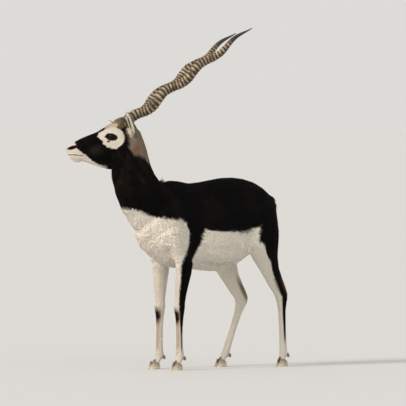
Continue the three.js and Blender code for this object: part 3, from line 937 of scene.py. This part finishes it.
# The skin's unwrap: each part is rolled out along its own length
ROLLS = {
    "trunk": ((0, 220, 600), (0, 1, 0), (0, 0, 0.52, 0.5)),
    "neck": ((-4, -120, 800), (0, -0.25, 0.97), (0.54, 0, 0.44, 0.24)),
    "head": (None, None, (0.54, 0.26, 0.44, 0.24)),
    "tail": ((0, 590, 640), (0, 0, 1), (0.02, 0.53, 0.1, 0.14)),
    "ear_left": (None, None, (0.14, 0.53, 0.14, 0.14)),
    "ear_right": (None, None, (0.3, 0.53, 0.14, 0.14)),
    "leg_fore_left": (None, (0, 0, 1), (0.02, 0.7, 0.22, 0.28)),
    "leg_fore_right": (None, (0, 0, 1), (0.26, 0.7, 0.22, 0.28)),
    "leg_hind_left": (None, (0, 0, 1), (0.5, 0.54, 0.23, 0.44)),
    "leg_hind_right": (None, (0, 0, 1), (0.75, 0.54, 0.23, 0.44)),
}


def roll_out(mesh, points, part):
    """Unwraps every part on a tube round its own axis, in a patch of its own."""
    corner = read(mesh.loops, "vertex_index", 1, np.int32)
    corner_part = np.repeat(part[corner[::3]], 3)
    uv = np.zeros((len(corner), 2))
    for name, (centre, axis, patch) in ROLLS.items():
        here = corner_part == PART[name]
        some = points[corner[here]]
        if name == "head":
            some = in_head(some)
            centre, axis = (0, 0, -30), (0, 1, 0)
        elif name.startswith("ear"):
            centre, axis = ear_line(name)
        elif name.startswith("leg"):
            x, y = leg_centre(name, some[:, 2])
            some = some - np.stack([x * side_of(name), y, np.zeros(len(x))], 1)
            centre = (0, 0, 0)
        axis = unit(axis)
        across = unit(np.cross(axis, (1, 0, 0) if abs(axis[0]) < 0.6 else (0, 1, 0)))
        other = np.cross(axis, across)
        offset = some - centre
        along = offset @ axis
        turn = np.arctan2(offset @ other, offset @ across) / (2 * np.pi) + 0.5
        turn = turn.reshape(-1, 3)
        turn = turn - np.round(turn - turn[:, :1])
        low, high = along.min(), along.max()
        left, bottom, wide, tall = patch
        uv[here, 0] = left + wide * (0.04 + 0.92 * turn.ravel())
        uv[here, 1] = bottom + tall * (0.03 + 0.94 * (along - low) / (high - low))
    layer = mesh.uv_layers.new(name="lie")
    layer.data.foreach_set("uv", uv.astype(np.float32).ravel())


# Materials

def attribute(tree, name, output="Fac"):
    return node(tree, "ShaderNodeAttribute", attribute_name=name).outputs[output]


def object_place(tree):
    return node(tree, "ShaderNodeTexCoord").outputs["Object"]


def noise(tree, place, scale, detail):
    return node(tree, "ShaderNodeTexNoise",
                {"Vector": place, "Scale": scale, "Detail": detail}).outputs["Fac"]


def ranged(tree, value, *limits):
    """A value moved from between the first two limits to between the others, or 0 and 1."""
    return node(tree, "ShaderNodeMapRange", dict(enumerate((value, *limits)))).outputs["Result"]


def mixed(tree, share, first, second, blend="MIX"):
    return node(tree, "ShaderNodeMix", {0: share, 6: first, 7: second},
                data_type="RGBA", blend_type=blend).outputs[2]


def graded(tree, level, first, last, *more):
    """Colours from first to last as the level rises, with more of them on the way."""
    ramp = node(tree, "ShaderNodeValToRGB", {"Fac": level})
    stops = ramp.color_ramp.elements
    stops[0].color, stops[1].color = opaque(first), opaque(last)
    for at, colour in more:
        stops.new(at).color = opaque(colour)
    return ramp.outputs["Color"]


def stretched(tree, place, scale):
    return node(tree, "ShaderNodeMapping", {"Vector": place, "Scale": scale}).outputs["Vector"]


def bumped(tree, height, strength, distance):
    return node(tree, "ShaderNodeBump",
                {"Height": height, "Strength": strength, "Distance": distance}).outputs["Normal"]


def coat_material(name, on_tufts):
    """Short antelope hair: nearly matt, a little paler at the tips, with glossy bare skin."""
    material, tree, shader = new_material(name)
    # Locks of hair about 4 mm wide differ a little in tone
    shade = ranged(tree, noise(tree, object_place(tree), 250.0, 3.0), 0.3, 0.7, 0.94, 1.05)
    if on_tufts:
        tips = ranged(tree, attribute(tree, "along"), 0.0, 1.0, 0.96, 1.03)
        own = math_node(tree, "MULTIPLY", tips, attribute(tree, "shade"))
        shade = math_node(tree, "MULTIPLY", shade, own)
    toned = times(tree, attribute(tree, "coat_colour", "Color"), shade)
    fill(tree, shader, {"Base Color": toned, "Roughness": 0.62, "IOR": 1.5, "Specular IOR Level": 0.08})
    if not on_tufts:
        # Hairs about 1 mm wide and 8 mm long, as they lie on the rolled-out skin
        lie = node(tree, "ShaderNodeUVMap", uv_map="lie").outputs["UV"]
        hairs = noise(tree, stretched(tree, lie, (900.0, 170.0, 1.0)), 1.0, 2.0)
        fill(tree, shader, {"Roughness": ranged(tree, attribute(tree, "bare"), 0.0, 1.0, 0.68, 0.34),
                            "Normal": bumped(tree, hairs, 0.5, 0.0006)})
    return material


# Tufts

def tuft_shape():
    """One lock of hair, 1 long, wide and high: three sides that narrow to a point."""
    profile = [(0.0, 0.36, -0.35, 0.16), (0.42, 0.5, -0.1, 0.42)]
    points, along = [], []
    for forward, half, low, high in profile:
        points += [(forward, -half, low), (forward, 0, high), (forward, half, low)]
        along += [forward] * 3
    points.append((1.0, 0.0, -0.05))
    along.append(1.0)
    faces = [(0, 2, 1), (0, 1, 4, 3), (1, 2, 5, 4), (2, 0, 3, 5), (3, 4, 6), (4, 5, 6), (5, 3, 6)]
    mesh = bpy.data.meshes.new("lock")
    mesh.from_pydata(points, [], faces)
    mesh.shade_smooth()
    set_values(mesh, "along", "FLOAT", "POINT", along)
    corners = np.array([points[loop.vertex_index][:2] for loop in mesh.loops])
    layer = mesh.uv_layers.new(name="patch")
    layer.data.foreach_set("uv", (corners + (0, 0.5)).astype(np.float32).ravel())
    return outward(add_object("lock", mesh))


def tuft_tree(lock, material):
    """Plants locks on a surface, laid along its hair, and makes them one mesh."""
    tree = bpy.data.node_groups.new("coat", "GeometryNodeTree")
    interface = tree.interface
    interface.new_socket("Skin", in_out="INPUT", socket_type="NodeSocketGeometry")
    sizes = {"Piece": "NodeSocketInt", "Seed": "NodeSocketInt", "Patch size": "NodeSocketFloat",
             "Length spread": "NodeSocketFloat", "Turn": "NodeSocketFloat"}
    for label, kind in sizes.items():
        interface.new_socket(label, in_out="INPUT", socket_type=kind)
    interface.new_socket("Coat", in_out="OUTPUT", socket_type="NodeSocketGeometry")
    given = node(tree, "NodeGroupInput").outputs

    def named(name, kind="FLOAT"):
        made = node(tree, "GeometryNodeInputNamedAttribute", {"Name": name}, data_type=kind)
        return made.outputs["Attribute"]

    def chance(low, high, offset):
        seed = math_node(tree, "ADD", given["Seed"], float(offset))
        return node(tree, "FunctionNodeRandomValue", {2: low, 3: high, "Seed": seed}).outputs[1]

    def product(a, b):
        return math_node(tree, "MULTIPLY", a, b)

    def joined(x, y, z):
        return node(tree, "ShaderNodeCombineXYZ", {0: x, 1: y, 2: z}).outputs[0]

    def store(geometry, name, value, kind, domain):
        return node(tree, "GeometryNodeStoreNamedAttribute",
                    {"Geometry": geometry, "Name": name, "Value": value},
                    data_type=kind, domain=domain).outputs[0]

    here = node(tree, "FunctionNodeCompare", {2: named("piece", "INT"), 3: given["Piece"]},
                data_type="INT", operation="EQUAL").outputs[0]
    sown = node(tree, "GeometryNodeDistributePointsOnFaces",
                {"Mesh": given["Skin"], "Selection": here,
                 "Density": named("number"), "Seed": given["Seed"]}).outputs["Points"]
    laid = node(tree, "FunctionNodeAxesToRotation",
                {0: named("up", "FLOAT_VECTOR"), 1: named("flow", "FLOAT_VECTOR")},
                primary_axis="Z", secondary_axis="X").outputs[0]
    lift = product(named("lift"), chance(-1.6, -0.2, 1))
    turn = product(given["Turn"], chance(-1.0, 1.0, 2))
    angles = joined(chance(-0.12, 0.12, 3), lift, turn)
    tip = node(tree, "FunctionNodeEulerToRotation", {0: angles}).outputs[0]
    rotation = node(tree, "FunctionNodeRotateRotation", {0: laid, 1: tip}, rotation_space="LOCAL").outputs[0]
    longer = math_node(tree, "ADD", 1.0, product(given["Length spread"], chance(-1.0, 1.0, 4)))
    length = product(product(named("length"), longer), MM)
    # A lock is as wide as 0.15 of its length and 0.6 mm more, and a third as high
    width = product(math_node(tree, "ADD", product(length, 0.15), 0.0006), chance(0.75, 1.25, 5))
    scale = joined(length, width, product(width, 0.34))
    # Roots stand half a millimetre clear of the skin, so that no lock sinks under it
    clear = times(tree, named("up", "FLOAT_VECTOR"), 0.0005)
    raised = node(tree, "GeometryNodeSetPosition", {"Geometry": sown, "Offset": clear}).outputs[0]
    shape = node(tree, "GeometryNodeObjectInfo", {"Object": lock}).outputs["Geometry"]
    planted = node(tree, "GeometryNodeInstanceOnPoints",
                   {"Points": raised, "Instance": shape, "Rotation": rotation, "Scale": scale}).outputs[0]
    shaded = store(planted, "shade", chance(0.93, 1.05, 6), "FLOAT", "INSTANCE")
    real = node(tree, "GeometryNodeRealizeInstances", {0: shaded}).outputs[0]
    patch = times(tree, named("patch", "FLOAT_VECTOR"), given["Patch size"])
    root = node(tree, "ShaderNodeVectorMath", {0: named("lie", "FLOAT_VECTOR"), 1: patch},
                operation="ADD").outputs[0]
    mapped = store(real, "OFBake", root, "FLOAT2", "CORNER")
    final = node(tree, "GeometryNodeSetMaterial", {"Geometry": mapped, "Material": material}).outputs[0]
    node(tree, "NodeGroupOutput", {"Coat": final})
    return tree


PATCH_SIZE = 0.003
MOST_TUFTS = 18_500
FIRST_SEED = 40
LENGTH_SPREAD, TUFT_TURN = 0.25, 0.1
# Pieces of coat: name, the flesh they cover, and the axis that splits them
TUFT_GROUPS = [("trunk", ["trunk"], 1), ("neck", ["neck"], 1), ("head", ["head", "ear_left", "ear_right"], 1),
               ("fore_left", ["leg_fore_left"], 2), ("fore_right", ["leg_fore_right"], 2),
               ("hind_left", ["leg_hind_left"], 2), ("hind_right", ["leg_hind_right", "tail"], 2)]


def split_pieces(mesh, part, number, areas):
    """Numbers the skin's points so that no piece of coat has too many tufts."""
    piece = np.zeros(len(part), np.int32)
    names = {}
    count = 1
    where = read(mesh.vertices, "co", 3)
    for name, members, axis in TUFT_GROUPS:
        here = np.isin(part, [PART[m] for m in members])
        tufts = (number * areas)[here].sum()
        shares = max(1, math.ceil(tufts / MOST_TUFTS))
        order = np.argsort(where[here, axis], kind="stable")
        running = np.cumsum((number * areas)[here][order]) / tufts
        own = np.zeros(here.sum(), np.int32)
        own[order] = np.minimum((running * shares).astype(int), shares - 1)
        piece[here] = own + count
        for share in range(shares):
            names[count + share] = f"coat_{name}_{share + 1}" if shares > 1 else f"coat_{name}"
        count += shares
    return piece, names


def point_areas(mesh, corner, count):
    area = read(mesh.polygons, "area")
    return np.bincount(corner, weights=np.repeat(area / 3, 3), minlength=count)


def dress_skin(skin, surface, part):
    """Gives the skin its colours and all that the tufts need, and names the pieces of coat."""
    mesh = skin.data
    points = surface.points
    normals = surface.normals()
    colours = np.clip(coat_colours(points, normals, part, surface), 0, 1)
    length, lift, number = tuft_sizes(points, part, surface)
    bare = bare_share(points, part)
    number = number * (bare < 0.3)
    corner = read(mesh.loops, "vertex_index", 1, np.int32)
    piece, names = split_pieces(mesh, part, number, point_areas(mesh, corner, len(points)))
    for name, kind, values in (
            ("coat_colour", "FLOAT_COLOR", np.column_stack([colours, np.ones(len(points))])),
            ("flow", "FLOAT_VECTOR", hair_way(points, normals, part, surface)),
            ("up", "FLOAT_VECTOR", surface.blurred(normals, 2)),
            ("length", "FLOAT", length), ("lift", "FLOAT", lift),
            ("number", "FLOAT", number), ("bare", "FLOAT", bare)):
        set_values(mesh, name, kind, "POINT", values)
    roll_out(mesh, points, part)
    set_values(mesh, "piece", "INT", "FACE", piece[corner[::3]])
    return names


def set_input(modifier, label, value):
    for item in modifier.node_group.interface.items_tree:
        if item.name == label and item.in_out == "INPUT":
            modifier[item.identifier] = value


def remove_values(mesh, *names):
    for name in names:
        if name in mesh.attributes:
            mesh.attributes.remove(mesh.attributes[name])


def plant_coat(skin, names):
    lock = tuft_shape()
    tree = tuft_tree(lock, coat_material("antelope_hair_tufts", True))
    made = []
    for number, name in names.items():
        bearer = add_object(name, skin.data)
        modifier = bearer.modifiers.new("coat", "NODES")
        modifier.node_group = tree
        for label, value in (("Piece", number), ("Seed", FIRST_SEED + number), ("Patch size", PATCH_SIZE),
                             ("Length spread", LENGTH_SPREAD), ("Turn", TUFT_TURN)):
            set_input(modifier, label, value)
        coat = finished(bearer, name)
        remove_values(coat.data, "flow", "up", "length", "lift", "number", "bare", "lie", "patch", "piece")
        made.append(coat)
    bpy.data.objects.remove(lock)
    return made


# Horns

HORN_RADIUS = 20.5
HORN_TURNS = 3.64
HORN_PHASE = 111
HORN_SWING = 11.2
HORN_ROOT, HORN_TIP = (24, 71.5, 31), (165, 675, 260)
HORN_ROWS, HORN_SIDES = 460, 26
HORN_TAPER = [1, 1.02, 1.01, 0.99, 0.96, 0.91, 0.82, 0.64, 0.38, 0.07]
HORN_SMOOTH_FROM = 0.86
HORN_RINGS = 37


def horn_frame(sign):
    start = on_head(HORN_ROOT[0] * sign, *HORN_ROOT[1:])
    axis = on_head(HORN_TIP[0] * sign, *HORN_TIP[1:]) - start
    out = along_head(sign, 0, 0)
    out = unit(out - axis * (out @ axis) / (axis @ axis))
    up = unit(np.cross(axis, out)) * sign
    return start, axis, out, up


def horn_centre(parts, t):
    start, axis, out, up = parts
    phase = math.radians(HORN_PHASE) + 2 * np.pi * HORN_TURNS * t
    swing = HORN_SWING * np.minimum(1, 0.3 + 5 * t) * (1 - 0.49 * t)
    t, phase, swing = (np.atleast_1d(v)[:, None] for v in (t, phase, swing))
    return start + axis * t + up * swing * np.cos(phase) + out * swing * np.sin(phase)


def horn_shape(sign):
    """Rings that crowd towards the tip stand out in front and fade behind it."""
    parts = horn_frame(sign)
    rows, sides = HORN_ROWS, HORN_SIDES
    t = np.linspace(0, 1, rows)
    centre = horn_centre(parts, t)
    ahead = unit(horn_centre(parts, t + 0.004) - horn_centre(parts, t - 0.004))
    across = unit(np.cross(ahead, parts[3]))
    over = np.cross(across, ahead)
    angle = 2 * np.pi * np.arange(sides) / sides
    taper = np.interp(t, np.linspace(0, 1, len(HORN_TAPER)), HORN_TAPER)
    turns = (HORN_RINGS * (t / HORN_SMOOTH_FROM) ** 1.06)[:, None]
    ridge = np.abs(np.cos(np.pi * (turns + 0.16 * np.sin(angle + 0.8)))) ** 1.9
    keep = smooth_step(HORN_SMOOTH_FROM + 0.02, HORN_SMOOTH_FROM - 0.06, t)[:, None]
    strong = 0.75 + 0.25 * np.cos(angle - 0.6)
    rough = 0.02 * np.sin(angle * 5 + turns * 2.1) + 0.012 * np.sin(angle * 9 - turns * 3.7)
    around = np.stack(np.broadcast_arrays(turns, np.cos(angle) * 1.5, np.sin(angle) * 1.5), -1)
    uneven = 1 + 0.28 * ripple(around.reshape(-1, 3), 4.5, 60 + sign).reshape(rows, sides)
    ridge = ridge * np.clip(uneven, 0.5, 1.2)
    radius = HORN_RADIUS * taper[:, None] * (1 + keep * (0.12 * strong * (ridge - 0.62) + rough))
    grid = (centre[:, None] + across[:, None] * (radius * np.cos(angle))[..., None]
            + over[:, None] * (radius * np.sin(angle))[..., None])
    points = np.vstack([centre[:1], grid.reshape(-1, 3), centre[-1:]])
    height = np.concatenate([[0.5], (ridge * keep + (1 - keep) * 0.2).ravel(), [0]])
    share = np.concatenate([[0], np.repeat(t, sides), [1]])
    return points, ring_faces(rows, sides), height, share


def horn_material():
    """Horn sheath of keratin: dull buff ridges lightened as a painted highlight, grooves darkened as painted
    shade, and a smooth dark tip.
    """
    material, tree, shader = new_material("ridged_horn_keratin")
    place = object_place(tree)
    fibre = noise(tree, place, 420.0, 4.0)
    uneven = ranged(tree, fibre, 0.3, 0.7, -0.3, 0.22)
    level = math_node(tree, "ADD", attribute(tree, "ridge"), uneven)
    # Paler on the ridges as a painted highlight, darker in the grooves as painted shade
    ridge_light_and_shade = graded(tree, level, "140e0a", "bba681", (0.16, "2c2118"), (0.42, "746048"))
    blotch = ranged(tree, noise(tree, place, 45.0, 3.0), 0.38, 0.66)
    dull = mixed(tree, blotch, ridge_light_and_shade, opaque("7d6a55"), "MULTIPLY")
    tip = ranged(tree, attribute(tree, "share"), 0.8, 0.9)
    fill(tree, shader, {"Base Color": mixed(tree, tip, dull, opaque("2b241d")),
                        "Normal": bumped(tree, fibre, 0.5, 0.0008), "Roughness": 0.55, "IOR": 1.54})
    return material


def add_horns():
    material = horn_material()
    for name, sign in (("left", 1), ("right", -1)):
        points, faces, ridge, share = horn_shape(sign)
        horn = outward(mesh_object(f"horn_{name}_sheath", points, faces))
        set_values(horn.data, "ridge", "FLOAT", "POINT", ridge)
        set_values(horn.data, "share", "FLOAT", "POINT", share)
        horn.data.materials.append(material)
        ride_for(horn, "horn", f"horn_{name}")


def ride_for(made, slot, *nodes):
    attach(made, BODY)
    if nodes:
        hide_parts(*nodes)


# Eyes

def eye_material(name, sign):
    """A wet antelope eye: a clear glossy front over a dark brown iris and a level pupil."""
    material, tree, shader = new_material(f"wet_eye_{name}")
    look = eye_axes(sign)[0]
    centre = tuple(placed(eye_middle(sign)))
    place = object_place(tree)
    offset = node(tree, "ShaderNodeVectorMath", {0: place, 1: centre}, operation="SUBTRACT").outputs[0]
    level = unit(along_head(0, -1, 0.3))
    rise = np.cross(look, level)

    def within(wide, high, low, full):
        """0 inside an ellipse on the eye's front and 1 outside it."""
        squares = []
        for way, half in ((level, wide), (rise, high)):
            share = node(tree, "ShaderNodeVectorMath", {0: offset, 1: tuple(way / (half * MM))},
                         operation="DOT_PRODUCT").outputs["Value"]
            squares.append(math_node(tree, "MULTIPLY", share, share))
        return ranged(tree, math_node(tree, "ADD", *squares), low, full)

    brown = graded(tree, noise(tree, place, 900.0, 2.0), "0e0704", "26150b")
    ringed = mixed(tree, within(8.0, 4.6, 0.85, 1.1), opaque("040303"), brown)
    white = mixed(tree, within(14.5, 14.5, 0.9, 1.08), ringed, opaque("16100c"))
    fill(tree, shader, {"Base Color": white, "Roughness": 0.12, "IOR": 1.33, "Specular IOR Level": 0.14,
                        "Coat Weight": 0.14, "Coat Roughness": 0.03})
    return material


CORNEA_BULGE = 0.9


def add_eyes():
    for name, sign in (("left", 1), ("right", -1)):
        look, front, _ = eye_axes(sign)
        axes = np.stack([front, np.cross(look, front), look], 1)
        centre = eye_middle(sign)
        points, faces = ball(centre, (EYE_RADIUS - 0.15,) * 3, axes, 48, 35)
        # The clear front bulges a little
        bulge = smooth_step(0.7, 1.0, unit(points - centre) @ look)
        points = points + look * (bulge * CORNEA_BULGE)[:, None]
        eye = outward(mesh_object(f"eyeball_{name}", points, faces))
        eye.data.materials.append(eye_material(name, sign))
        ride_for(eye, "eye", f"eye_{name}")


# Hooves

DEWCLAW_RADII, DEWCLAW_TILT = (6, 6.5, 10), 20
HOOF_LENGTH, HOOF_HEIGHT, HOOF_LEAN, HOOF_SPREAD = 50, 28, 15, 10
HOOF_LEVELS = [(0, 11.5), (0.4, 11.3), (0.75, 10.6), (1, 9.4)]
HOOF_TOES = {"fore_left": 8, "fore_right": -6, "hind_left": 558, "hind_right": 340}


def hoof_shape(middle, toe, side):
    """Half a cloven hoof, with a flat sole and a rounded upper edge."""
    rows, sides = 22, 40
    shares, halves = np.array(HOOF_LEVELS, float).T
    centre_x = middle + side * HOOF_SPREAD
    angle = 2 * np.pi * np.arange(sides) / sides
    forward = np.sin(angle)
    across = np.cos(angle)
    narrowing = np.where(forward > 0, 1 - 0.5 * forward ** 2, 1 - 0.1 * forward ** 2)
    flat_inside = np.where(across * side < 0, 0.72, 1)
    rings = []
    for row in range(rows):
        share = max(0.0, (row - 2) / (rows - 3))
        shrink = (0.55, 0.97, 1.0)[row] if row < 3 else 1.0
        shrink *= 1 - 0.12 * smooth_step(0.9, 1.0, share)
        half = np.interp(share, shares, halves) * shrink
        front, heel = toe + HOOF_LEAN * share, toe + HOOF_LENGTH - 3 * share
        groove = 1 + 0.006 * np.sin(share * 60)
        rings.append(np.stack([centre_x + half * narrowing * flat_inside * across * groove,
                               (front + heel) / 2 - (heel - front) / 2 * shrink * forward * groove,
                               HOOF_HEIGHT * share * (1 + 0.2 * forward)], 1))
    rings[1][:, 2] = 0.0
    rings[2][:, 2] = 0.7
    start = rings[0].mean(0)
    end = rings[-1].mean(0)
    return np.vstack([start, *rings, end]), ring_faces(rows, sides)


def hoof_material():
    """Hoof horn: dark and worn dull, ringed across, with pale dust on the toes."""
    material, tree, shader = new_material("dusty_hoof_horn")
    place = object_place(tree)
    growth = noise(tree, stretched(tree, place, (60.0, 60.0, 420.0)), 1.0, 3.0)
    height = node(tree, "ShaderNodeSeparateXYZ", {0: place}).outputs["Z"]
    low = ranged(tree, height, 0.026, 0.006, 0.25, 1.0)
    dust = ranged(tree, noise(tree, place, 160.0, 4.0), 0.3, 0.6, 0.35, 1.0)
    coloured = mixed(tree, math_node(tree, "MULTIPLY", low, dust),
                     graded(tree, growth, "3a3027", "7d6e5c"), opaque("dccfb6"))
    fill(tree, shader, {"Base Color": coloured, "Normal": bumped(tree, growth, 0.4, 0.0005),
                        "Roughness": 0.5, "IOR": 1.54})
    return material


def add_hooves():
    material = hoof_material()
    tilt = np.array(Matrix.Rotation(math.radians(DEWCLAW_TILT), 3, "X"))
    for leg, toe in HOOF_TOES.items():
        sign = side_of(leg)
        fetlock, coronet = LEG_JOINTS[f"leg_{leg}"][-2:]
        for side in (1, -1):
            place = "outer" if side == sign else "inner"
            hoof = outward(mesh_object(f"hoof_horn_{leg}_{place}", *hoof_shape(coronet[0] * sign, toe, side)))
            centre = (fetlock[0] * sign + side * 10, fetlock[1] + 18, fetlock[2] - 5)
            claw = outward(mesh_object(f"dewclaw_horn_{leg}_{place}", *ball(centre, DEWCLAW_RADII, tilt)))
            for made, kind in ((hoof, "hoof"), (claw, "dewclaw")):
                made.data.materials.append(material)
                ride_for(made, "hoof", f"{kind}_{leg}_{place}")


# Making

add_camera()
add_studio()
skin, skin_surface, skin_part = build_skin()
piece_names = dress_skin(skin, skin_surface, skin_part)
skin.data.materials.append(coat_material("antelope_hair_short", False))
for coat in plant_coat(skin, piece_names):
    ride_for(coat, "coat")
remove_values(skin.data, "flow", "up", "length", "lift", "number", "piece")
ride_for(skin, "coat", *FLESH)
add_horns()
add_eyes()
add_hooves()
